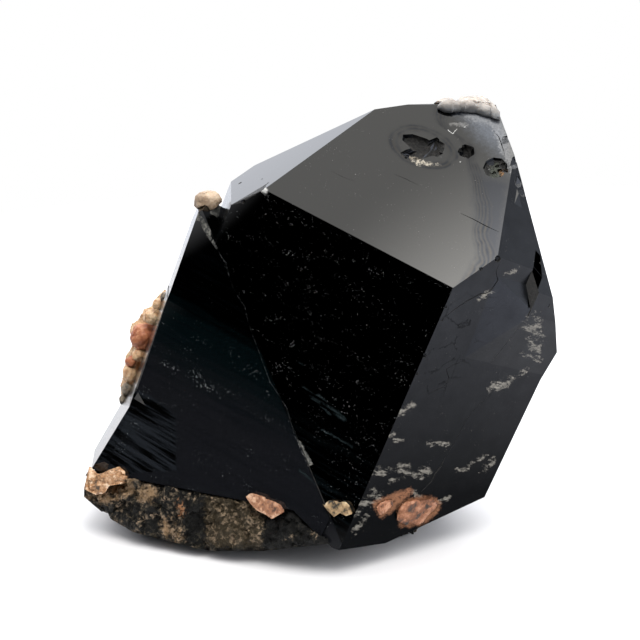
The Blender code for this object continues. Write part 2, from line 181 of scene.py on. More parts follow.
# Rubble in the third pit, beside the rim: its pixel, its half widths and how deep its middle lies
PIT_RUBBLE = ((498, 171), (2.9, 2.9, 0.6), 0.25)
# Feldspar and green grains in and beside the pits
PIT_CREAM = (((396, 152), (402, 150), (408, 156), (422, 160), (438, 165), (420, 165), (404, 161)),)
SPOT_ORANGE = (((499, 171), (509, 170), (508, 176), (501, 177)),)
SPOT_GREEN = (((490, 167), (498, 162), (501, 172), (498, 179), (490, 178)),)
# White bloom at the tip, the greyer foot of its crust, and small white marks of the faces
TIP_BLOOM = (
    ((446, 107), (496, 111), 1.1),
    ((470, 114), (497, 122), 1.6),
    ((452, 124), (466, 125), 0.35),
)
TIP_GREY = (((425, 104), (458, 104), (474, 105), (505, 111), (505, 130), (425, 130)),)
WHITE_CHIPS = (
    ((261, 189), (265, 190), 0.5),
    ((448, 130), (453, 134), 0.08),
    ((453, 134), (457, 129), 0.06),
    ((464, 127), (465, 127), 0.07),
    ((460, 162), (461, 162), 0.08),
)
# The bluish strip that the stain lines run down
BLUE_STRIP = (((474, 172), (512, 180), (501, 262), (484, 268), (479, 230)),)
# A milky film beside the tip, in two steps of strength
MILK_ZONES = (
    ((448, 104), (498, 106), (512, 140), (514, 176), (500, 168), (476, 138), (456, 120)),
    ((464, 108), (498, 108), (508, 134), (500, 146), (482, 136)),
)

# Stain lines on the top face: one set flows past the pits and down the right side, another goes round them
STAIN_PATH = ((446, 112), (447, 128), (462, 140), (474, 162), (480, 180), (483, 210), (483, 240), (482, 262))
PIT_RING = ((422, 151), (29, 11))

# Painted reflection: a patch near the right edge painted black with a weaker, smoother mirror, standing in
# for a step face that mirrors the dark side
PAINTED_DARK_REFLECTION = (
    ((535.5, 250), (540.4, 255.5), (542.3, 277.3), (533.5, 266.4)),
    ((533.5, 266.4), (542.3, 277.3), (533.6, 301.9), (528.1, 308.7), (527.3, 288.3)),
)
# A place on the flat ramp of the right face, whose mirror is strengthened as painted light, where the face is
# finely cracked, and its films of feldspar
RAMP_PIXEL = (500, 315)
CRACKED_ZONE = (((430, 310), (492, 288), (488, 330), (452, 396), (420, 398)),)
FELDSPAR_FILMS = (
    ((372, 503), (384, 497), (398, 492), (411, 488), (413, 491), (399, 505), (389, 514), (380, 518)),
    (
        (397, 508), (405, 500), (417, 496), (433, 497), (441, 503),
        (440, 509), (434, 516), (427, 523), (408, 527), (399, 527),
    ),
)
# Worn ledges beside the seam, and the line of the seam itself
LEDGES = (
    ((209.8, 210.6), (220.9, 202.7), (218.3, 217), (210.9, 213.8)),
    ((193.4, 211.7), (198.2, 210.6), (200.8, 221.2), (193.4, 220.7)),
    ((199.3, 212.7), (210.9, 230.7), (210.9, 241.2), (203.5, 229.6)),
    ((210.9, 242.3), (213, 240.2), (217.2, 247.6), (216.7, 249.2)),
    ((297, 440), (300, 441), (313, 464), (309, 466)),
)
SEAM_LINE = (
    (217, 248), (226, 264), (233, 288), (245, 307), (251, 331),
    (259, 352), (270, 382), (287, 408), (294, 434), (307, 464),
)

# The streaked front of the heel, and two places of the front faces that mirror less than the rest, as painted
# shade
HEEL_ZONE = ((134, 384), (150, 396), (176, 407), (176, 470), (60, 480))
MIRROR_SHADE_ZONES = (
    ((150, 288), (222, 300), (215, 345), (140, 345)),
    ((318, 512), (356, 512), (350, 556), (322, 556)),
)
# Dust: cells to a millimetre, the noise at which specks start and are thickest, and their radius there. Real
# dust is finer than the render can show, so the smallest specks are drawn about a pixel wide.
DUST_SIZES = ((3.2, 0.47, 0.74, 0.44), (1.3, 0.47, 0.76, 0.2), (0.4, 0.34, 0.76, 0.06))
# Veils and dust clouds on the front faces, with half widths in millimetres
VEILS = (
    ((303, 388), (320, 401), 0.35),
    ((318, 396), (344, 419), 0.45),
    ((312, 398), (330, 414), 0.2),
    ((289, 352), (302, 364), 0.2),
    ((322, 430), (352, 446), 0.2),
    ((300, 470), (318, 486), 0.25),
)
DUST_CLOUDS = (
    ((338, 401), (351, 410), 1.3),
    ((183, 345), (192, 352), 0.9),
    ((196, 376), (214, 396), 1.6),
    ((160, 360), (175, 372), 1.2),
)

# Lumps of the left cluster: how many are hidden, and the line that those near the front stay behind
HIDDEN_LUMPS = 200
CLUSTER_EDGE = ((124, 404), (166, 292))
# The lumps that show: the pixel each is seen at, its half width and half height in pixels, and its feldspar
CLUSTER_LUMPS = (
    ((165, 298), 4.5, 6.0, 3),
    ((158, 304), 5.5, 5.5, 1),
    ((151, 317), 7.5, 7.5, 1),
    ((162, 316), 4.0, 6.0, 1),
    ((144, 337), 14.0, 13.5, 2),
    ((139, 355), 7.0, 6.0, 1),
    ((131, 361), 6.0, 5.0, 2),
    ((130, 373), 6.5, 9.5, 1),
    ((127, 389), 6.0, 6.5, 3),
    ((123, 400), 3.5, 6.0, 3),
)

# Regions of the matrix by their outlines in pixels, and the outline of the whole matrix as it is seen
MATRIX_PALE = (
    ((84, 484), (98, 478), (134, 476), (140, 490), (118, 500), (100, 506), (86, 498)),
    ((136, 478), (149, 481), (158, 494), (152, 505), (138, 499)),
    ((160, 520), (172, 516), (184, 540), (168, 543)),
)
MATRIX_OLIVE = (((204, 498), (243, 492), (264, 503), (262, 548), (206, 546)),)
MATRIX_BLACK = (
    ((186, 500), (204, 497), (206, 546), (188, 545)),
    ((264, 505), (300, 513), (330, 538), (326, 548), (262, 548)),
    ((216, 545), (258, 545), (250, 560), (224, 560)),
)
MATRIX_BEIGE = (
    ((283, 538), (290, 533), (299, 538), (297, 543), (285, 543)),
    ((306, 533), (312, 528), (319, 535), (314, 541)),
    ((100, 488), (108, 486), (108, 494), (101, 495)),
)
MATRIX_ORANGE = (((178, 504), (182, 501), (185, 514), (180, 515)),)
MATRIX_OUTLINE = (
    (84, 470), (84, 497), (109, 518), (136, 534), (166, 544), (200, 549), (224, 555), (262, 551), (352, 551)
)
# The feldspar pieces as they are seen: the upper and the lower line of each, from left to right
OUTLINES = {
    "corner_crust": (
        ((60, 462), (84, 463), (91, 467), (98, 474), (103, 473), (109, 470), (122, 465), (140, 466)),
        ((60, 489), (84, 489), (96, 495), (105, 493), (109, 486), (126, 483), (140, 483)),
    ),
    "left_grain": (
        ((246, 495), (252, 493), (262, 496), (272, 500), (281, 505), (284, 510)),
        ((246, 497), (250, 503), (256, 510), (266, 515), (272, 519), (284, 512)),
    ),
    "middle_grain": (
        ((323, 502), (329, 499), (333, 501), (337, 497), (343, 499), (349, 505), (352, 512)),
        ((323, 504), (327, 510), (334, 517), (340, 513), (346, 516), (352, 514)),
    ),
    "right_grain": (
        ((374, 503), (382, 499), (390, 497), (396, 496)),
        ((374, 505), (380, 516), (386, 512), (391, 507), (396, 503)),
    ),
    "right_patch": (
        ((396, 512), (401, 504), (408, 499), (415, 497), (419, 501), (432, 499), (438, 503), (442, 507)),
        ((396, 524), (402, 528), (410, 523), (418, 525), (424, 522), (430, 519), (434, 513), (442, 509)),
    ),
    "tip_crust": (
        ((434, 103), (440, 99), (447, 97), (452, 98), (456, 101), (462, 96), (468, 95), (480, 95), (487, 97),
         (493, 103), (500, 112)),
        ((434, 109), (440, 112), (456, 114), (470, 113), (485, 116), (500, 120)),
    ),
    "tip_nodule": (
        ((194, 202), (195, 196), (200, 192), (208, 190), (215, 191), (219, 194), (222, 199)),
        ((194, 206), (198, 210), (203, 213), (208, 211), (214, 209), (219, 205), (222, 202)),
    ),
}
# The pieces that lie almost flush: a pixel of the face each lies on, and how many millimetres it stands proud
FLAT_AT = {
    "left_grain": ((262, 492), 0.9),
    "middle_grain": ((338, 490), 0.5),
    "right_grain": ((380, 525), 0.3),
    "right_patch": ((380, 540), 0.4),
}
# The crystal's index of refraction
QUARTZ_INDEX = 1.544
# The left edge of the corner crust
CORNER_OUTLINE = ((66, 500), (84, 497), (84, 488), (89, 467), (104, 448))


def linear(colour):
    """An sRGB hex colour as linear values with full alpha."""
    channels = [int(colour[place : place + 2], 16) / 255 for place in (1, 3, 5)]
    return tuple(c / 12.92 if c <= 0.04045 else ((c + 0.055) / 1.055) ** 2.4 for c in channels) + (1.0,)


def add(tree, kind, inputs=None, out=0, stops=(), **settings):
    """Adds a node with its settings and links, and returns one of its output sockets."""
    made = tree.nodes.new(kind)
    for name, value in settings.items():
        setattr(made, name, value)
    for key, value in (inputs or {}).items():
        if isinstance(value, bpy.types.NodeSocket):
            tree.links.new(value, made.inputs[key])
        else:
            made.inputs[key].default_value = value
    if stops:
        elements = made.color_ramp.elements
        while len(elements) > 1:
            elements.remove(elements[-1])
        elements[0].position = stops[0][0]
        elements[0].color = linear(stops[0][1])
        for place, colour in stops[1:]:
            elements.new(place).color = linear(colour)
    return made.outputs[out]


def math_of(tree, operation, *values):
    """One Math node."""
    return add(tree, "ShaderNodeMath", dict(enumerate(values)), operation=operation)


def times(tree, first, second):
    """The product of two values."""
    return math_of(tree, "MULTIPLY", first, second)


def vector_of(tree, operation, *values, out=0):
    """One Vector Math node."""
    return add(tree, "ShaderNodeVectorMath", dict(enumerate(values)), out, operation=operation)


def noise_of(tree, place, scale, detail, rough, out=0):
    """One Noise node."""
    settings = {"Vector": place, "Scale": scale, "Detail": detail, "Roughness": rough}
    return add(tree, "ShaderNodeTexNoise", settings, out)


def ranged(tree, value, first, last, low=0.0, high=1.0, smooth=False):
    """Maps a value from one range to another and holds it at the ends."""
    settings = {0: value, 1: first, 2: last, 3: low, 4: high}
    return add(tree, "ShaderNodeMapRange", settings, interpolation_type="SMOOTHSTEP" if smooth else "LINEAR")


def roughen(tree, shader, height, strength, distance):
    """Adds fine relief to a shader, its depth in metres."""
    bump = add(tree, "ShaderNodeBump", {"Height": height, "Strength": strength, "Distance": distance})
    tree.links.new(bump, shader.inputs["Normal"])


def new_material(name):
    """A material with one Principled shader: returns it, its tree and the shader."""
    material = bpy.data.materials.new(name)
    material.use_nodes = True
    tree = material.node_tree
    return material, tree, tree.nodes["Principled BSDF"]


def merged_form(node_name):
    """A merged copy of a CAD node's mesh, as a form to work on."""
    form = bmesh.new()
    form.from_mesh(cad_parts[node_name].data)
    bmesh.ops.remove_doubles(form, verts=form.verts[:], dist=1e-7)
    return form


whole_crystal = merged_form("quartz_crystal")
CRYSTAL_SURFACE = BVHTree.FromBMesh(whole_crystal)
whole_crystal.free()


def ray_through(pixel):
    """The direction from the camera's place through a pixel of the photograph."""
    across = (pixel[0] - HALF_FRAME) / FOCAL_PIXELS
    down = (pixel[1] - HALF_FRAME) / FOCAL_PIXELS
    return CAMERA_TURN.to_matrix() @ Vector((across, -down, -1.0))


def seen_at(pixel):
    """The point of the crystal under a pixel of the photograph, with the normal there."""
    ray = ray_through(pixel)
    point, normal, _, _ = CRYSTAL_SURFACE.ray_cast(CAMERA_PLACE, ray.normalized())
    if normal.dot(ray) > 0.0:
        normal.negate()
    return point, normal


def mark_between(first, second, half_width):
    """A bar with round ends on the crystal between two pixels: centre, turn, half length and half widths."""
    start, normal = seen_at(first)
    end, _ = seen_at(second)
    along = (end - start).normalized()
    across = normal.cross(along).normalized()
    turn = Matrix((along, across, along.cross(across))).transposed().to_euler()
    wide = half_width * MM
    return (start + end) / 2.0, turn, (end - start).length / 2.0 / wide, (wide, wide, MARK_DEPTH * MM)


def strongest(tree, *masks):
    """The strongest of some masks at each place."""
    total = masks[0]
    for mask in masks[1:]:
        total = math_of(tree, "MAXIMUM", total, mask)
    return total


def mark_mask(tree, vector, bars):
    """The strongest of some soft bars on the crystal, from 0 to 1."""
    masks = []
    for centre, turn, half_length, half_widths in (mark_between(*bar) for bar in bars):
        settings = {"Vector": vector, "Location": centre, "Rotation": turn, "Scale": half_widths}
        inside = add(tree, "ShaderNodeMapping", settings, vector_type="TEXTURE")
        folded = vector_of(tree, "ABSOLUTE", inside)
        cut = vector_of(tree, "SUBTRACT", folded, (half_length, 0.0, 0.0))
        past = vector_of(tree, "MAXIMUM", cut, (0.0, 0.0, 0.0))
        reach = vector_of(tree, "LENGTH", past, out=1)
        masks.append(ranged(tree, reach, 1.4, 0.4, smooth=True))
    return strongest(tree, *masks)


def outline_sides(pixels):
    """The planes that bound a convex outline of pixels, each with its normal inward and its offset."""
    middle = [sum(pixel[axis] for pixel in pixels) / len(pixels) for axis in (0, 1)]
    sides = []
    for first, second in zip(pixels, pixels[1:] + pixels[:1]):
        inward = ray_through(first).cross(ray_through(second)).normalized()
        if inward.dot(ray_through(middle)) < 0.0:
            inward.negate()
        sides.append((inward, inward.dot(CAMERA_PLACE)))
    return sides


def region_mask(tree, vector, outlines, soft=0.15):
    """The regions inside some convex outlines of pixels, from 0 to 1; soft is their edges' half width."""
    masks = []
    for pixels in outlines:
        inside = None
        for inward, offset in outline_sides(pixels):
            reach = vector_of(tree, "DOT_PRODUCT", vector, inward, out=1)
            side = ranged(tree, reach, offset - soft * MM, offset + soft * MM)
            inside = side if inside is None else math_of(tree, "MINIMUM", inside, side)
        masks.append(inside)
    return strongest(tree, *masks)


def blend(tree, share, first, second):
    """A mix of two colours, each a hex colour or a socket."""
    colours = [linear(colour) if isinstance(colour, str) else colour for colour in (first, second)]
    return add(tree, "ShaderNodeMix", {0: share, 6: colours[0], 7: colours[1]}, out=2, data_type="RGBA")


def polyline(pixels, half_width):
    """The bars of a line through some pixels."""
    return [(first, second, half_width) for first, second in zip(pixels, pixels[1:])]


def new_object(name, form):
    """Puts a form in a new object at the origin."""
    mesh = bpy.data.meshes.new(name)
    form.to_mesh(mesh)
    form.free()
    piece = bpy.data.objects.new(name, mesh)
    bpy.context.scene.collection.objects.link(piece)
    return piece


def settle(piece):
    """Bakes a piece's modifiers into its mesh."""
    bpy.context.view_layer.update()
    evaluated = piece.evaluated_get(bpy.context.evaluated_depsgraph_get())
    mesh = bpy.data.meshes.new_from_object(evaluated)
    piece.modifiers.clear()
    piece.data = mesh


def joined_by(piece, form, operation, own_overlaps=False):
    """Joins a closed form to a piece or cuts it out of it."""
    tool = new_object("tool", form)
    change = piece.modifiers.new("change", "BOOLEAN")
    change.operation = operation
    change.solver = "EXACT"
    change.use_self = own_overlaps
    change.object = tool
    settle(piece)
    bpy.data.objects.remove(tool)


# Light: a white sweep behind, a broad soft box overhead, and nothing low at the left front, which the tall
# front face mirrors as black. Each lobe: turn, height, inner and outer angle in degrees, and its colour.
SKY_LOBES = (
    (100.0, 12.0, 30.0, 80.0, (1.55, 1.60, 1.72)),
    (-18.0, 0.0, 24.0, 50.0, (1.50, 1.55, 1.66)),
    (-30.0, 32.0, 12.0, 30.0, (3.2, 3.2, 3.2)),
    (0.0, 90.0, 30.0, 58.0, (1.90, 1.88, 1.82)),
    (-70.0, 62.0, 4.0, 20.0, (8.5, 8.3, 7.9)),
    (-140.0, 48.0, 10.0, 26.0, (1.5, 1.5, 1.5)),
    (212.0, 14.0, 10.4, 12.4, (1.15, 1.17, 1.22)),
)


def make_world():
    """The light from all round, plain white where the camera looks straight at it."""
    world = bpy.data.worlds.new("white sweep")
    bpy.context.scene.world = world
    world.use_nodes = True
    tree = world.node_tree
    tree.nodes.clear()
    direction = add(tree, "ShaderNodeTexCoord", out=0)
    total = (0.0, 0.0, 0.0)
    for turn, height, inner, outer, tint in SKY_LOBES:
        flat = math.cos(math.radians(height))
        around = math.radians(turn)
        axis = (flat * math.cos(around), flat * math.sin(around), math.sin(math.radians(height)))
        near = vector_of(tree, "DOT_PRODUCT", direction, axis, out=1)
        lobe = ranged(tree, near, math.cos(math.radians(outer)), math.cos(math.radians(inner)), smooth=True)
        total = vector_of(tree, "MULTIPLY_ADD", lobe, tint, total)
    straight = add(tree, "ShaderNodeLightPath")
    light = add(tree, "ShaderNodeBackground", {"Color": total, "Strength": 1.0})
    plain = add(tree, "ShaderNodeBackground", {"Color": (1.0, 1.0, 1.0, 1.0), "Strength": 1.0})
    either = add(tree, "ShaderNodeMixShader", {0: straight, 1: light, 2: plain})
    end = tree.nodes.new("ShaderNodeOutputWorld")
    tree.links.new(either, end.inputs["Surface"])


def make_camera():
    """The photograph's camera."""
    data = bpy.data.cameras.new("camera")
    data.sensor_width = SENSOR
    data.lens = FOCAL_PIXELS * SENSOR / (2.0 * HALF_FRAME)
    data.clip_start = 0.01
    camera = bpy.data.objects.new("camera", data)
    camera.location = CAMERA_PLACE
    camera.rotation_euler = CAMERA_TURN
    bpy.context.scene.collection.objects.link(camera)
    bpy.context.scene.camera = camera
    bpy.context.scene.view_settings.view_transform = "Standard"


def make_floor():
    """Matt white card that fades into the white sweep, so that its edge never shows."""
    form = bmesh.new()
    bmesh.ops.create_circle(form, cap_ends=True, segments=64, radius=0.5)
    floor = new_object("floor", form)
    material, tree, shader = new_material("matt white card")
    shader.inputs["Base Color"].default_value = linear("#dcdcdf")
    shader.inputs["Roughness"].default_value = 0.9
    shader.inputs["Specular IOR Level"].default_value = 0.1
    place = add(tree, "ShaderNodeTexCoord", out=3)
    reach = vector_of(tree, "DISTANCE", place, FLOOR_CENTRE, out=1)
    fade = ranged(tree, reach, 0.31, 0.24, smooth=True)
    tree.links.new(fade, shader.inputs["Alpha"])
    floor.data.materials.append(material)


def new_quartz(name):
    """A quartz material: also its coordinates, in the crystal's own frame in millimetres and in metres."""
    material, tree, shader = new_material(name)
    shader.inputs["IOR"].default_value = QUARTZ_INDEX
    metres = add(tree, "ShaderNodeTexCoord", out=3)
    settings = {"Vector": metres, "Location": CORNER, "Rotation": LEAN, "Scale": (MM, MM, MM)}
    return material, tree, shader, add(tree, "ShaderNodeMapping", settings, vector_type="TEXTURE"), metres


def dust_mask(tree, place, amount, extra=0.0):
    """Pale dust: separate specks of 0.05 to 0.2 mm, thick in loose clouds and thin between them."""
    drawn = add(tree, "ShaderNodeMapping", {"Vector": place, "Scale": (1.0, 0.5, 1.4)})
    loose = noise_of(tree, drawn, 0.3, 5.0, 0.75)
    cloud = math_of(tree, "MULTIPLY_ADD", extra, 0.16, loose)
    shades = []
    for scale, first, last, widest in DUST_SIZES:
        near = add(tree, "ShaderNodeTexVoronoi", {"Vector": place, "Scale": scale})
        pick = add(tree, "ShaderNodeSeparateColor", {0: near.node.outputs["Color"]})
        thick = ranged(tree, cloud, first, last, 0.1 * widest, widest)
        speck = math_of(tree, "GREATER_THAN", times(tree, thick, pick), near)
        dim = math_of(tree, "POWER", pick.node.outputs[1], 1.7)
        shades.append(times(tree, speck, dim))
    return times(tree, strongest(tree, *shades), amount)


def striations(tree, place, width=1.0):
    """Noise drawn out across the c axis, as growth lines are: about two lines to a millimetre."""
    settings = {"Vector": place, "Scale": (0.05, 0.05, 1.1 / width)}
    drawn = add(tree, "ShaderNodeMapping", settings)
    return noise_of(tree, drawn, 1.0, 4.0, 0.6)


def ragged_place(tree, place, metres, push):
    """Object coordinates pushed about by noise, so that what is drawn with them has a ragged edge."""
    ragged = noise_of(tree, place, 1.1, 5.0, 0.75, out=1)
    centred = vector_of(tree, "SUBTRACT", ragged, (0.5, 0.5, 0.5))
    pushed = add(tree, "ShaderNodeVectorMath", {0: centred, "Scale": push}, operation="SCALE")
    return vector_of(tree, "ADD", metres, pushed)


def polished_quartz():
    """Morion with natural prism faces: a dusty black mirror, with faint haze and growth lines at the left."""
    material, tree, shader, place, metres = new_quartz("morion quartz natural prism face")
    bent = ragged_place(tree, place, metres, 0.0015)
    front = add(tree, "ShaderNodeSeparateXYZ", {0: place})
    facing = math_of(tree, "GREATER_THAN", front, -11.0)
    height = front.node.outputs[2]
    lines = striations(tree, place)
    along = (SEAM_FOOT - SEAM_TOP).normalized()
    across = along.cross(Vector((1.0, 0.0, 0.0)))
    side = vector_of(tree, "DOT_PRODUCT", place, across, out=1)
    past_seam = across.dot(SEAM_TOP)
    left = ranged(tree, side, past_seam, past_seam + 0.3)
    level = math_of(tree, "MULTIPLY_ADD", lines, 12.0, height)
    band = ranged(tree, level, BAND_EDGE + 7.5, BAND_EDGE + 4.5)
    lower = ranged(tree, level, -26.0, -40.0, smooth=True)
    heel = region_mask(tree, bent, (HEEL_ZONE,), 0.2)
    streak = ranged(tree, lines, 0.47, 0.66, smooth=True)
    haze = blend(tree, lower, blend(tree, band, "#000000", "#03090b"), "#131417")
    haze = blend(tree, times(tree, streak, 0.25), haze, "#05070a")
    wide = ranged(tree, lines, 0.42, 0.58, smooth=True)
    heel_tone = blend(tree, wide, "#020202", "#1c1f23")
    haze = blend(tree, heel, haze, heel_tone)
    streaked = times(tree, streak, lower)
    body = blend(tree, left, blend(tree, streaked, "#000000", "#070b0d"), haze)
    veil = mark_mask(tree, bent, VEILS)
    body = blend(tree, times(tree, veil, streak), body, "#1d2426")
    grit = noise_of(tree, place, 3.0, 3.0, 0.7)
    broken = ranged(tree, grit, 0.46, 0.6)
    seam = times(tree, mark_mask(tree, metres, polyline(SEAM_LINE, 0.07)), broken)
    crumbs = mark_mask(tree, bent, DUST_CLOUDS)
    dust = dust_mask(tree, place, 0.8, crumbs)
    dust = math_of(tree, "MAXIMUM", dust, times(tree, seam, 0.2))
    dust = times(tree, dust, ranged(tree, facing, 0.0, 1.0, 0.6, 1.0))
    colour = blend(tree, dust, body, "#8e9294")
    ledge = times(tree, region_mask(tree, bent, LEDGES, 0.1), facing)
    mottle = blend(tree, broken, "#2b2d2c", "#7d7b75")
    colour = blend(tree, ledge, colour, mottle)
    white = times(tree, mark_mask(tree, bent, WHITE_CHIPS), facing)
    tree.links.new(blend(tree, white, colour, "#cfcfcd"), shader.inputs["Base Color"])
    matt = strongest(tree, dust, ledge, white)
    tree.links.new(ranged(tree, matt, 0.0, 1.0, 0.02, 0.6), shader.inputs["Roughness"])
    # Painted shade: in these two zones the front faces mirror less, so they show darker
    painted_shade_zone = times(tree, region_mask(tree, metres, MIRROR_SHADE_ZONES, 0.6), facing)
    tree.links.new(math_of(tree, "MULTIPLY_ADD", painted_shade_zone, -0.42, 0.5), shader.inputs["Specular IOR Level"])
    relief = times(tree, lines, lower)
    roughen(tree, shader, relief, 0.06, 0.0002)
    return material


def in_top_face(pixel):
    """Where a pixel falls on the top face: millimetres across it and up it."""
    point, _ = seen_at(pixel)
    spot = LEAN.to_matrix().transposed() @ (point - CORNER) / MM
    return Vector((spot.y, spot.dot(UP_TOP_FACE)))


def stain_lines(tree, place):
    """The cover and the waves of an old stain on the top face: lines that flow round the pits and down."""
    up = vector_of(tree, "DOT_PRODUCT", place, UP_TOP_FACE, out=1)
    across = add(tree, "ShaderNodeSeparateXYZ", {0: place}, out=1)
    spots = sorted((in_top_face(pixel) for pixel in STAIN_PATH), key=lambda spot: spot.y)
    low, high = spots[0].y, spots[-1].y
    share = ranged(tree, up, low, high)
    path = add(tree, "ShaderNodeFloatCurve", {"Value": share})
    curve = path.node.mapping.curves[0].points
    for spot in spots[1:-1]:
        curve.new((spot.y - low) / (high - low), (spot.x + 40.0) / 60.0)
    curve[0].location = (0.0, (spots[0].x + 40.0) / 60.0)
    curve[len(curve) - 1].location = (1.0, (spots[-1].x + 40.0) / 60.0)
    path.node.mapping.update()
    middle = math_of(tree, "MULTIPLY_ADD", path, 60.0, -40.0)
    sway = noise_of(tree, place, 0.12, 2.0, 0.45)
    swing = ranged(tree, sway, 0.0, 1.0, -2.4, 2.4)
    drift = math_of(tree, "ADD", math_of(tree, "SUBTRACT", across, middle), swing)
    reach = math_of(tree, "ABSOLUTE", drift)
    beside = ranged(tree, reach, 2.4, 0.9, smooth=True)
    centre = in_top_face(PIT_RING[0])
    edge = in_top_face((PIT_RING[0][0] + PIT_RING[1][0], PIT_RING[0][1]))
    foot = in_top_face((PIT_RING[0][0], PIT_RING[0][1] + PIT_RING[1][1]))
    half = ((edge - centre).length, (foot - centre).length, 1.0)
    pair = add(tree, "ShaderNodeCombineXYZ", {0: across, 1: up})
    ring = {"Vector": pair, "Location": (centre.x, centre.y, 0.0), "Scale": half}
    inside = add(tree, "ShaderNodeMapping", ring, vector_type="TEXTURE")
    radius = vector_of(tree, "LENGTH", inside, out=1)
    swell = math_of(tree, "MULTIPLY_ADD", swing, 0.12, radius)
    rim = math_of(tree, "ABSOLUTE", math_of(tree, "SUBTRACT", swell, 1.05))
    around = ranged(tree, rim, 0.34, 0.12, smooth=True)
    by_pit = math_of(tree, "GREATER_THAN", around, beside)
    rings = times(tree, swell, 30.0)
    stripes = times(tree, drift, 8.0)
    phase = add(tree, "ShaderNodeMix", {0: by_pit, 2: stripes, 3: rings}, data_type="FLOAT")
    stir = noise_of(tree, place, 0.35, 3.0, 0.6)
    phase = math_of(tree, "MULTIPLY_ADD", stir, 7.0, phase)
    wave = ranged(tree, math_of(tree, "SINE", phase), -1.0, 1.0)
    fading = ranged(tree, stir, 0.36, 0.6, 1.0, 0.25)
    return times(tree, math_of(tree, "MAXIMUM", beside, around), fading), wave


def top_quartz():
    """Morion with its large rhombohedral face: a mirror with old stain lines, bloomed white at the tip."""
    material, tree, shader, place, metres = new_quartz("morion quartz mirror termination face")
    bent = ragged_place(tree, place, metres, 0.003)
    dust = dust_mask(tree, place, 0.3)
    bloom = mark_mask(tree, bent, TIP_BLOOM)
    grit = noise_of(tree, place, 2.2, 4.0, 0.7)
    patchy = ranged(tree, grit, 0.35, 0.75, 0.12, 0.4)
    white = times(tree, bloom, patchy)
    chipped = times(tree, region_mask(tree, bent, (RIM_ZONE,), 0.3), patchy)
    white = math_of(tree, "MAXIMUM", white, chipped)
    pale = math_of(tree, "MAXIMUM", dust, white)
    colour = blend(tree, pale, "#020202", "#a4a2a0")
    softly = ranged(tree, grit, 0.3, 0.7, 0.09, 0.15)
    milk = math_of(tree, "ADD", *(region_mask(tree, bent, (zone,), 1.4) for zone in MILK_ZONES))
    milk = times(tree, milk, softly)
    colour = blend(tree, milk, colour, "#8f98a8")
    chip = mark_mask(tree, ragged_place(tree, place, metres, 0.001), WHITE_CHIPS)
    chip = times(tree, chip, ranged(tree, grit, 0.3, 0.55))
    colour = blend(tree, chip, colour, "#cfcfcd")
    cream = region_mask(tree, ragged_place(tree, place, metres, 0.0025), PIT_CREAM, 0.2)
    flecks = times(tree, cream, ranged(tree, grit, 0.42, 0.55))
    tree.links.new(blend(tree, flecks, colour, "#a59c8c"), shader.inputs["Base Color"])
    matt = strongest(tree, pale, chip, flecks)
    tree.links.new(ranged(tree, matt, 0.0, 1.0, 0.03, 0.6), shader.inputs["Roughness"])
    cover, wave = stain_lines(tree, place)
    ripple = blend(tree, wave, "#ece8e4", "#b4bccc")
    tint = blend(tree, region_mask(tree, bent, BLUE_STRIP, 1.6), "#ffffff", "#d0d5e2")
    tree.links.new(blend(tree, cover, tint, ripple), shader.inputs["Specular Tint"])
    return material


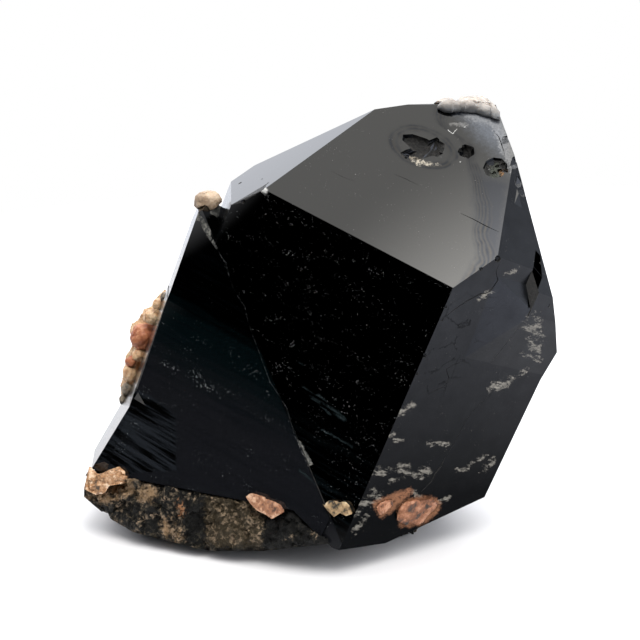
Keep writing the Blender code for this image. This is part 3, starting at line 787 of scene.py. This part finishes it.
def satin_quartz():
    """Morion with an etched prism face: satin dark grey, scuffed pale, and darker towards its own shadow,
    with its mirror strength painted as light and shade.
    """
    material, tree, shader, place, metres = new_quartz("morion quartz etched satin face")
    bent = ragged_place(tree, place, metres, 0.0022)
    scuff = mark_mask(tree, bent, [(first, last, wide * 1.4) for first, last, wide in SCUFFS])
    broad = noise_of(tree, place, 0.3, 4.0, 0.6)
    drawn = add(tree, "ShaderNodeMapping", {"Vector": place, "Scale": (0.4, 0.4, 1.0)})
    uneven = noise_of(tree, drawn, 0.9, 3.0, 0.6)
    grit = noise_of(tree, drawn, 3.0, 6.0, 0.85)
    weight = ranged(tree, uneven, 0.4, 0.6, 0.2, 0.43)
    frayed = math_of(tree, "MULTIPLY_ADD", scuff, weight, grit)
    pale = ranged(tree, frayed, 0.78, 1.0)
    both = math_of(tree, "MAXIMUM", pale, dust_mask(tree, place, 0.35))
    # Painted reflection of the dark side: the patch is black, smoother and hardly mirrors
    dark_reflection_patch = region_mask(tree, metres, PAINTED_DARK_REFLECTION, 0.05)
    colour = blend(tree, both, "#060708", "#858179")
    crust = region_mask(tree, bent, FELDSPAR_FILMS, 0.3)
    crust = times(tree, crust, ranged(tree, grit, 0.36, 0.52))
    colour = blend(tree, crust, colour, blend(tree, broad, "#5f4231", "#9a6d52"))
    tree.links.new(blend(tree, dark_reflection_patch, colour, "#000000"), shader.inputs["Base Color"])
    shader.inputs["Specular Tint"].default_value = linear("#e2e9fb")
    matt = math_of(tree, "MAXIMUM", both, crust)
    satin = ranged(tree, matt, 0.0, 1.0, 0.16, 0.8)
    tree.links.new(math_of(tree, "MULTIPLY_ADD", dark_reflection_patch, -0.14, satin), shader.inputs["Roughness"])
    # Painted shade: the mirror is weaker low down, standing in for the floor's shadow that this face reflects
    above = add(tree, "ShaderNodeSeparateXYZ", {0: metres}, out=2)
    painted_light_gloss = ranged(tree, above, 0.012, 0.056, 0.02, 0.21)
    edge = add(tree, "ShaderNodeTexVoronoi", {"Vector": bent, "Scale": 200.0}, feature="DISTANCE_TO_EDGE")
    hair = ranged(tree, edge, 0.03, 0.008)
    shown = times(tree, hair, region_mask(tree, bent, CRACKED_ZONE, 1.5))
    broken = times(tree, shown, math_of(tree, "GREATER_THAN", broad, 0.5))
    dull = math_of(tree, "SUBTRACT", 1.0, strongest(tree, dark_reflection_patch, times(tree, broken, 0.7)))
    clouds = ranged(tree, broad, 0.3, 0.7, 0.86, 1.14)
    painted_light_gloss = times(tree, painted_light_gloss, clouds)
    facet = add(tree, "ShaderNodeNewGeometry", out="True Normal")
    # Painted light: the flat ramp facet mirrors more strongly, so it shows as light as the face round it
    ramp = vector_of(tree, "DOT_PRODUCT", facet, seen_at(RAMP_PIXEL)[1], out=1)
    ramp_painted_light = math_of(tree, "MULTIPLY_ADD", math_of(tree, "GREATER_THAN", ramp, 0.998), 0.75, 1.0)
    # Painted light: the mirror grows stronger towards the right
    rightward = add(tree, "ShaderNodeSeparateXYZ", {0: metres})
    rightward_painted_light = ranged(tree, rightward, 0.03, 0.046, 1.0, 1.22)
    painted_light_gloss = times(tree, times(tree, painted_light_gloss, ramp_painted_light), rightward_painted_light)
    # Painted light and shade: faces turned to the left mirror strongly low down and weakly high up
    wall = math_of(tree, "LESS_THAN", add(tree, "ShaderNodeSeparateXYZ", {0: facet}), -0.6)
    wall_painted_gloss = ranged(tree, above, 0.02, 0.055, 0.7, 0.16)
    painted_light_gloss = add(tree, "ShaderNodeMix", {0: wall, 2: painted_light_gloss, 3: wall_painted_gloss}, data_type="FLOAT")
    tree.links.new(times(tree, painted_light_gloss, dull), shader.inputs["Specular IOR Level"])
    # The etching is too fine to show, so its relief is drawn at about 0.3 mm
    roughen(tree, shader, grit, 0.12, 0.0002)
    return material


def broken_quartz():
    """Morion where it is broken: a dull dark grey break, with feldspar and green grains in the pits."""
    material, tree, shader, place, metres = new_quartz("morion quartz conchoidal break")
    patches = noise_of(tree, place, 1.6, 5.0, 0.78)
    dark = ((0.38, "#050505"), (0.52, "#141312"), (0.64, "#34302c"), (0.8, "#6d675f"))
    pale = ((0.35, "#2b2c2d"), (0.5, "#54565a"), (0.62, "#6f7174"), (0.8, "#94959a"))
    colour = add(tree, "ShaderNodeValToRGB", {0: patches}, stops=dark)
    bent = ragged_place(tree, place, metres, 0.0015)
    rim = region_mask(tree, bent, (RIM_ZONE,), 0.4)
    colour = blend(tree, rim, colour, add(tree, "ShaderNodeValToRGB", {0: patches}, stops=pale))
    for outlines, shade in ((PIT_CREAM, "#a89e8e"), (SPOT_GREEN, "#4a4f45"), (SPOT_ORANGE, "#94714c")):
        inside = region_mask(tree, bent, outlines, 0.2)
        flecked = times(tree, inside, ranged(tree, patches, 0.42, 0.54))
        colour = blend(tree, flecked, colour, shade)
    tree.links.new(colour, shader.inputs["Base Color"])
    shader.inputs["Roughness"].default_value = 0.5
    roughen(tree, shader, patches, 1.0, 0.0008)
    return material


def rough_pebble(form, centre, radius, chance, finer, uneven):
    """Adds a small angular pebble to a form, its points moved in or out by a share."""
    made = bmesh.ops.create_icosphere(form, subdivisions=finer, radius=radius)
    for vertex in made["verts"]:
        vertex.co *= chance.uniform(1.0 - uneven, 1.0 + uneven)
        vertex.co += centre


def cut_away(piece, form):
    """Cuts a closed form out of a piece."""
    bmesh.ops.recalc_face_normals(form, faces=form.faces[:])
    joined_by(piece, form, "DIFFERENCE", True)


def angular_pit(pixels, depth, chance):
    """A closed angular form under an outline on the crystal, for cutting a pit with an uneven floor."""
    form = bmesh.new()
    rim = [seen_at(pixel) for pixel in pixels]
    middle = sum((point for point, _ in rim), Vector()) / len(rim)
    for point, normal in rim:
        form.verts.new(point + normal * 0.2 * MM)
        inner = middle.lerp(point, chance.uniform(0.6, 0.9))
        form.verts.new(inner - normal * depth * MM * chance.uniform(0.6, 1.0))
    bmesh.ops.convex_hull(form, input=form.verts[:])
    bmesh.ops.triangulate(form, faces=form.faces[:])
    bmesh.ops.subdivide_edges(form, edges=form.edges[:], cuts=2, use_grid_fill=True)
    for vertex in form.verts:
        if (vertex.co - rim[0][0]).dot(rim[0][1]) < -0.15 * MM:
            vertex.co += Vector([chance.uniform(-0.2, 0.2) * MM for _ in range(3)])
    return form


def add_rubble(piece, pixel, half_widths, sunk, chance):
    """Fills a pit in the crystal with an uneven mound that stays just under the face round it."""
    point, normal = seen_at(pixel)
    along = normal.orthogonal().normalized()
    turn = Matrix((along, normal.cross(along), normal)).transposed()
    form = bmesh.new()
    made = bmesh.ops.create_icosphere(form, subdivisions=5, radius=1.0)
    for vertex in made["verts"]:
        swell = 1.0 + 0.3 * noise.noise(vertex.co * 2.6) + 0.22 * noise.noise(vertex.co * 6.5)
        spot = Vector([vertex.co[axis] * half_widths[axis] for axis in range(3)]) * swell
        spot += Vector([chance.uniform(-0.04, 0.04) for _ in range(3)])
        vertex.co = point + turn @ (spot - Vector((0.0, 0.0, sunk))) * MM
    joined_by(piece, form, "UNION")


def groove(form, pixels, half_width, chance):
    """Adds a thin crooked wedge along a line of pixels on the crystal, for cutting a crack."""
    rings = []
    last = len(pixels) - 1
    for number, pixel in enumerate(pixels):
        point, normal = seen_at(pixel)
        before = seen_at(pixels[max(0, number - 1)])[0]
        after = seen_at(pixels[min(last, number + 1)])[0]
        along = (after - before).normalized()
        across = normal.cross(along).normalized()
        taper = 0.35 if number in (0, last) else chance.uniform(0.7, 1.2)
        half = half_width * MM * taper
        lift = normal * 0.1 * MM
        deep = normal * -0.5 * MM * taper
        corners = (across * half + lift, across * -half + lift, deep)
        rings.append([form.verts.new(point + corner) for corner in corners])
    for first, second in zip(rings, rings[1:]):
        for side in range(3):
            follow = (side + 1) % 3
            form.faces.new((first[side], first[follow], second[follow], second[side]))
    form.faces.new(rings[0])
    form.faces.new(list(reversed(rings[-1])))


def make_crystal():
    """The whole crystal: the CAD facets, with cracks and chips cut in and a finish for each kind of face."""
    chance = random.Random(5)
    form = merged_form("quartz_crystal")
    bmesh.ops.dissolve_limit(form, angle_limit=math.radians(0.4), verts=form.verts[:], edges=form.edges[:])
    crystal = new_object("morion_crystal", form)
    add_rubble(crystal, *PIT_RUBBLE, chance)
    for bites, finer, uneven in ((CHIPS, 1, 0.18), (RIM_BITES, 2, 0.06)):
        cutters = bmesh.new()
        for pixel, radius, share in bites:
            point, normal = seen_at(pixel)
            rough_pebble(cutters, point + normal * radius * share * MM, radius * MM, chance, finer, uneven)
        cut_away(crystal, cutters)
    for pixels, depth in PITS:
        cut_away(crystal, angular_pit(pixels, depth, chance))
    for pixels, half_width in CRACKS:
        cutters = bmesh.new()
        groove(cutters, pixels, half_width, chance)
        cut_away(crystal, cutters)

    crystal.data.materials.clear()
    for material in (polished_quartz(), top_quartz(), satin_quartz(), broken_quartz()):
        crystal.data.materials.append(material)
    back_to_crystal = LEAN.to_matrix().transposed()
    for face in crystal.data.polygons:
        face.use_smooth = False
        normal = back_to_crystal @ face.normal
        if normal.dot(TOP_NORMAL) > 0.999:
            face.material_index = 1
        elif normal.dot(RIGHT_NORMAL) > 0.7 or face.normal.x < -0.8:
            face.material_index = 2
        elif face.area > WHOLE_FACE_AREA and abs(face.normal.z) < 0.95:
            face.material_index = 0
        else:
            face.material_index = 3
    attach(crystal, "root")
    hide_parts("quartz_crystal")


def granules(name):
    """Geometry Nodes: angular blocks and finer noise raised on a skin, with loose angular grains on it."""
    tree = bpy.data.node_groups.new(name, "GeometryNodeTree")
    face = tree.interface
    face.new_socket("Geometry", in_out="INPUT", socket_type="NodeSocketGeometry")
    sizes = (("Block size", 0.003), ("Block relief", 0.0006), ("Fine relief", 0.0002), ("Growth", 0.0),
             ("Grain radius", 0.0005), ("Grains per square metre", 1e5))
    for label, value in sizes:
        face.new_socket(label, in_out="INPUT", socket_type="NodeSocketFloat").default_value = value
    face.new_socket("Seed", in_out="INPUT", socket_type="NodeSocketInt").default_value = 1
    face.new_socket("Material", in_out="INPUT", socket_type="NodeSocketMaterial")
    face.new_socket("Geometry", in_out="OUTPUT", socket_type="NodeSocketGeometry")
    given = tree.nodes.new("NodeGroupInput").outputs

    here = add(tree, "GeometryNodeInputPosition")
    per_metre = math_of(tree, "DIVIDE", 1.0, given["Block size"])
    shade = add(tree, "ShaderNodeTexVoronoi", {"Vector": here, "Scale": per_metre}, out=1)
    centre = shade.node.outputs["Position"]
    tilt = vector_of(tree, "SUBTRACT", shade, (0.5, 0.5, 0.5))
    away = vector_of(tree, "SUBTRACT", here, centre)
    slope = vector_of(tree, "DOT_PRODUCT", tilt, away, out=1)
    scaled = times(tree, slope, per_metre)
    lift = add(tree, "ShaderNodeSeparateXYZ", {0: tilt})
    block = math_of(tree, "MULTIPLY_ADD", scaled, 1.3, lift)
    raised = times(tree, block, given["Block relief"])
    finer = times(tree, per_metre, 2.7)
    level = math_of(tree, "SUBTRACT", noise_of(tree, here, finer, 4.0, 0.7), 0.5)
    crumb = math_of(tree, "MULTIPLY_ADD", level, given["Fine relief"], raised)
    grown = math_of(tree, "ADD", crumb, given["Growth"])
    outward = add(tree, "GeometryNodeInputNormal")
    push = add(tree, "ShaderNodeVectorMath", {0: outward, "Scale": grown}, operation="SCALE")
    skin = add(tree, "GeometryNodeSetPosition", {"Geometry": given["Geometry"], "Offset": push})

    spread = {"Mesh": skin, "Density": given["Grains per square metre"], "Seed": given["Seed"]}
    points = add(tree, "GeometryNodeDistributePointsOnFaces", spread)
    pebble = add(tree, "GeometryNodeMeshIcoSphere", {"Radius": given["Grain radius"], "Subdivisions": 1})
    turns = {0: (0.0, 0.0, 0.0), 1: (6.3, 6.3, 6.3), "Seed": given["Seed"]}
    turn = add(tree, "FunctionNodeRandomValue", turns, data_type="FLOAT_VECTOR")
    widths = {0: (0.5, 0.4, 0.3), 1: (1.6, 1.3, 1.0), "Seed": given["Seed"]}
    size = add(tree, "FunctionNodeRandomValue", widths, data_type="FLOAT_VECTOR")
    placed = {"Points": points, "Instance": pebble, "Rotation": turn, "Scale": size}
    grains = add(tree, "GeometryNodeInstanceOnPoints", placed)
    joined = add(tree, "GeometryNodeJoinGeometry", {0: skin})
    tree.links.new(grains, joined.node.inputs[0])
    real = add(tree, "GeometryNodeRealizeInstances", {0: joined})
    finished = add(tree, "GeometryNodeSetMaterial", {"Geometry": real, "Material": given["Material"]})
    end = tree.nodes.new("NodeGroupOutput")
    tree.links.new(finished, end.inputs[0])
    return tree


def set_input(modifier, label, value):
    """Sets a Geometry Nodes modifier's input by its label, through its identifier."""
    for item in modifier.node_group.interface.items_tree:
        if item.name == label and item.in_out == "INPUT":
            modifier[item.identifier] = value


def keep_in_box(piece, node_name):
    """Brings every point back inside the box of a node."""
    low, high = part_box(node_name)
    for vertex in piece.data.vertices:
        for axis in range(3):
            vertex.co[axis] = min(max(vertex.co[axis], low[axis]), high[axis])


def make_skin(name, node_name, material, voxel, sizes, seed):
    """A granular skin over a plain node: sizes are block, relief, fine relief, growth, grain and density."""
    piece = new_object(name, merged_form(node_name))
    melt = piece.modifiers.new("skin", "REMESH")
    melt.mode = "VOXEL"
    melt.voxel_size = voxel * MM
    grow = piece.modifiers.new("granules", "NODES")
    grow.node_group = GRANULES
    labels = ("Block size", "Block relief", "Fine relief", "Growth", "Grain radius")
    for label, value in zip(labels, sizes):
        set_input(grow, label, value * MM)
    set_input(grow, "Grains per square metre", sizes[5] / MM / MM)
    set_input(grow, "Seed", seed)
    set_input(grow, "Material", material)
    settle(piece)
    return piece


def fit_outline(piece, top, foot):
    """Brings points that would show outside a piece's upper and lower line back to them."""
    turn = CAMERA_TURN.to_matrix()
    lowest, highest = top[0][0], top[-1][0]
    for vertex in piece.data.vertices:
        seen = turn.transposed() @ (vertex.co - CAMERA_PLACE)
        scale = -seen.z / FOCAL_PIXELS
        across = HALF_FRAME + seen.x / scale
        down = HALF_FRAME - seen.y / scale
        kept = min(max(across, lowest), highest)
        least, most = (line_at(line, kept) for line in (top, foot))
        level = min(max(down, least), most)
        vertex.co += turn @ Vector(((kept - across) * scale, (down - level) * scale, 0.0))


def line_at(line, across):
    """The height of a line of pixels at a place across the picture."""
    for first, second in zip(line, line[1:]):
        if across <= second[0]:
            share = (across - first[0]) / (second[0] - first[0])
            return first[1] + (second[1] - first[1]) * share
    return line[-1][1]


def flatten(piece, pixel, proud):
    """Presses a piece flat where it stands too many millimetres off the crystal's face at a pixel."""
    point, normal = seen_at(pixel)
    for vertex in piece.data.vertices:
        over = (vertex.co - point).dot(normal) - proud * MM
        if over > 0.0:
            vertex.co -= normal * over * 0.8


def keep_in_outline(piece, pixels):
    """Brings points that would show outside an outline back to it."""
    sides = outline_sides(pixels + ((400, 300),))[: len(pixels) - 1]
    for vertex in piece.data.vertices:
        for inward, offset in sides:
            short = offset - vertex.co.dot(inward)
            if short > 0.0:
                vertex.co += inward * short


def stand_for(piece, node_name):
    """Keeps a finished piece inside its node's box and puts it in the node's place."""
    keep_in_box(piece, node_name)
    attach(piece, "root")
    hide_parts(node_name)


def matrix_rock():
    """Granitic matrix, broken: fine black mica with grey-brown grains, olive and pale by patches."""
    material, tree, shader = new_material("granite matrix broken")
    metres = add(tree, "ShaderNodeTexCoord", out=3)
    place = add(tree, "ShaderNodeMapping", {"Vector": metres, "Scale": (1000.0, 1000.0, 1000.0)})
    grain = add(tree, "ShaderNodeTexVoronoi", {"Vector": place, "Scale": 1.9}, out=1)
    pick = add(tree, "ShaderNodeSeparateColor", {0: grain})
    patch = noise_of(tree, place, 0.35, 6.0, 0.75)
    mixed = math_of(tree, "MULTIPLY_ADD", pick, 0.42, math_of(tree, "MULTIPLY_ADD", patch, 1.4, -0.3))
    bent = ragged_place(tree, place, metres, 0.005)
    masks = []
    shifts = ((MATRIX_PALE, 0.17), (MATRIX_OLIVE, 0.12), (MATRIX_BLACK, -0.2), (MATRIX_BEIGE, 0.28))
    for outlines, shift in shifts:
        inside = region_mask(tree, bent, outlines, 0.4)
        mixed = math_of(tree, "MULTIPLY_ADD", inside, shift, mixed)
        masks.append(inside)
    stops = (
        (0.48, "#050504"), (0.6, "#12120f"), (0.7, "#29261f"),
        (0.78, "#463f34"), (0.88, "#7a6a59"), (0.98, "#a8937c"),
    )
    colour = add(tree, "ShaderNodeValToRGB", {0: mixed}, stops=stops)
    colour = blend(tree, times(tree, masks[1], 0.45), colour, "#473b26")
    flecks = ranged(tree, patch, 0.42, 0.6, 0.0, 0.8)
    colour = blend(tree, times(tree, masks[0], flecks), colour, "#8e7354")
    colour = blend(tree, region_mask(tree, bent, MATRIX_ORANGE, 0.2), colour, "#9c6f4d")
    tree.links.new(colour, shader.inputs["Base Color"])
    shader.inputs["Roughness"].default_value = 0.55
    shader.inputs["Specular IOR Level"].default_value = 0.2
    fine = noise_of(tree, place, 1.8, 5.0, 0.7)
    roughen(tree, shader, fine, 1.0, 0.0009)
    return material


def feldspar_rock(name, stops, rough=0.5, relief=1.0, grey=()):
    """Feldspar in small blocky grains: its colour changes by patches and grains, grey in some outlines."""
    material, tree, shader = new_material(name)
    metres = add(tree, "ShaderNodeTexCoord", out=3)
    grain = add(tree, "ShaderNodeTexVoronoi", {"Vector": metres, "Scale": 1400.0}, out=1)
    pick = add(tree, "ShaderNodeSeparateColor", {0: grain})
    patch = noise_of(tree, metres, 420.0, 5.0, 0.7)
    mixed = math_of(tree, "MULTIPLY_ADD", pick, 0.16, patch)
    colour = add(tree, "ShaderNodeValToRGB", {0: mixed}, stops=stops)
    if grey:
        colour = blend(tree, region_mask(tree, metres, grey, 1.0), colour, "#5b5c5e")
    tree.links.new(colour, shader.inputs["Base Color"])
    shader.inputs["Roughness"].default_value = rough
    shader.inputs["Subsurface Weight"].default_value = 0.15
    shader.inputs["Subsurface Radius"].default_value = (0.0012, 0.0007, 0.0004)
    shader.inputs["Subsurface Scale"].default_value = 1.0
    fine = add(tree, "ShaderNodeTexNoise", {"Vector": metres, "Scale": 2200.0, "Detail": 4.0})
    roughen(tree, shader, fine, 0.6 * relief, 0.0003)
    return material


def make_cluster():
    """The left cluster: a granular skin with the separate rounded lumps that the photograph shows."""
    finishes = (BEIGE, CREAM, ORANGE, GREY)
    piece = make_skin("left_cluster", "feldspar_cluster", BEIGE, 0.35, (1.8, 0.3, 0.25, -0.5, 0.25, 0.3), 4)
    low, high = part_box("feldspar_cluster")
    form = bmesh.new()
    form.from_mesh(piece.data)
    for vertex in form.verts:
        vertex.co.y = low.y + 3.2 * MM + (vertex.co.y - low.y) * 0.78
    rounded = []
    for pixel, half_width, half_height, finish in CLUSTER_LUMPS:
        ray = ray_through(pixel)
        scale = (low.y + 4.0 * MM - CAMERA_PLACE.y) / ray.y / FOCAL_PIXELS
        half = Vector((half_width, (half_width + half_height) / 2.0, half_height)) * scale
        reach = (low.y + half.y * 1.05 - CAMERA_PLACE.y) / ray.y
        rounded.append((CAMERA_PLACE + ray * reach, half, finish, 5))
    chance = random.Random(8)
    plain = merged_form("feldspar_cluster")
    plain.faces.ensure_lookup_table()
    inward, offset = outline_sides(CLUSTER_EDGE + ((400, 300),))[0]
    for _ in range(HIDDEN_LUMPS):
        face = chance.choices(plain.faces, [face.calc_area() for face in plain.faces])[0]
        shares = [chance.random() + 0.01 for _ in face.verts]
        spot = sum((vertex.co * share for vertex, share in zip(face.verts, shares)), Vector()) / sum(shares)
        wide = chance.uniform(0.8, 2.0)
        half = Vector([wide * chance.uniform(0.8, 1.25) * MM for _ in range(3)])
        finish = chance.choices((0, 1, 2, 3), (0.3, 0.4, 0.18, 0.12))[0]
        behind = spot.y > low.y + 3.5 * MM and spot.dot(inward) - offset > wide * 1.3 * MM
        if behind or spot.y > low.y + 7.5 * MM:
            rounded.append((spot - face.normal * wide * 0.15 * MM, half, finish, 3))
    plain.free()
    for number, (centre, half, finish, finer) in enumerate(rounded):
        made = bmesh.ops.create_icosphere(form, subdivisions=finer, radius=1.0)
        for vertex in made["verts"]:
            spot = vertex.co * 1.3 + Vector((number * 3.7, 0.0, 0.0))
            swell = 1.0 + 0.16 * noise.noise(spot) + 0.06 * noise.noise(spot * 3.1)
            swell += 0.03 * noise.noise(spot * 9.0)
            vertex.co = centre + Vector([vertex.co[axis] * half[axis] for axis in range(3)]) * swell
        for face in {face for vertex in made["verts"] for face in vertex.link_faces}:
            face.material_index = finish
            face.smooth = True
    piece.data.materials.clear()
    for finish in finishes:
        piece.data.materials.append(finish)
    form.to_mesh(piece.data)
    form.free()
    stand_for(piece, "feldspar_cluster")


make_camera()
make_world()
make_floor()
make_crystal()

GRANULES = granules("granules")
matrix = make_skin("granite_matrix", "matrix_base", matrix_rock(), 0.5, (2.0, 0.9, 0.9, -0.15, 0.33, 0.25), 3)
keep_in_outline(matrix, MATRIX_OUTLINE)
stand_for(matrix, "matrix_base")
BEIGE = feldspar_rock("beige feldspar grains", ((0.42, "#6d5844"), (0.56, "#ad8b6b"), (0.72, "#ccae90")))
CREAM = feldspar_rock("cream feldspar grains", ((0.42, "#9a7655"), (0.56, "#c9a27b"), (0.72, "#dcc1a0")))
ORANGE = feldspar_rock("orange feldspar grains", ((0.4, "#874a31"), (0.56, "#a5623f"), (0.75, "#b97f5b")))
GREY = feldspar_rock("grey feldspar grains", ((0.42, "#1f1c18"), (0.54, "#6a6052"), (0.72, "#9a8c7a")))
make_cluster()
PINK_STOPS = ((0.42, "#32231a"), (0.5, "#7a523c"), (0.6, "#9a6c4e"), (0.72, "#c7a388"))
TAN_STOPS = ((0.42, "#32281d"), (0.49, "#7d5c3e"), (0.58, "#a67c56"), (0.7, "#d1b79c"))
PALE_STOPS = ((0.36, "#8b7763"), (0.54, "#a8917a"), (0.74, "#c0aa92"))
WHITE_STOPS = ((0.38, "#8d857e"), (0.54, "#a39b94"), (0.74, "#bcb4ab"))
SPECKLED_STOPS = ((0.44, "#22201b"), (0.51, "#7c6749"), (0.6, "#a68a66"), (0.78, "#cdb998"))
SALMON_STOPS = ((0.41, "#2c1e15"), (0.49, "#61391f"), (0.6, "#835030"), (0.73, "#ad7c5e"))
PINK = feldspar_rock("pink feldspar grains", PINK_STOPS)
TAN = feldspar_rock("tan feldspar grains", TAN_STOPS)
PALE = feldspar_rock("pale feldspar grains", PALE_STOPS, 0.5, 0.5)
WHITE = feldspar_rock("white feldspar crust", WHITE_STOPS, 0.45, 0.25, TIP_GREY)
SPECKLED = feldspar_rock("speckled cream feldspar", SPECKLED_STOPS)
SALMON = feldspar_rock("salmon feldspar grains", SALMON_STOPS)
# Each feldspar piece: its node, slot, material and the sizes of its skin
FELDSPAR = (
    ("corner_crust", "feldspar_corner", "feldspar", TAN, (1.6, 0.5, 0.4, 0.25, 0.2, 0.4)),
    ("left_grain", "feldspar_grain_left", "feldspar", PINK, (1.4, 0.3, 0.3, 0.3, 0.14, 0.2)),
    ("middle_grain", "feldspar_grain_middle", "cream_feldspar", SPECKLED, (1.2, 0.35, 0.4, 0.3, 0.16, 0.4)),
    ("right_grain", "feldspar_grain_right", "feldspar", SALMON, (1.2, 0.3, 0.4, 0.35, 0.14, 0.3)),
    ("right_patch", "feldspar_patch_right", "feldspar", SALMON, (1.8, 0.3, 0.5, 0.35, 0.14, 0.3)),
    ("tip_crust", "feldspar_tip_crust", "cream_feldspar", WHITE, (3.0, 0.3, 0.12, 0.3, 0.12, 0.05)),
    ("tip_nodule", "feldspar_tip_nodule", "cream_feldspar", PALE, (1.5, 0.15, 0.2, 0.3, 0.12, 0.2)),
)
for seed, (piece_name, node_name, slot, material, sizes) in enumerate(FELDSPAR):
    piece = make_skin(piece_name, node_name, material, 0.2, sizes, seed)
    if piece_name in FLAT_AT:
        flatten(piece, *FLAT_AT[piece_name])
    if piece_name == "corner_crust":
        keep_in_outline(piece, CORNER_OUTLINE)
    fit_outline(piece, *OUTLINES[piece_name])
    stand_for(piece, node_name)
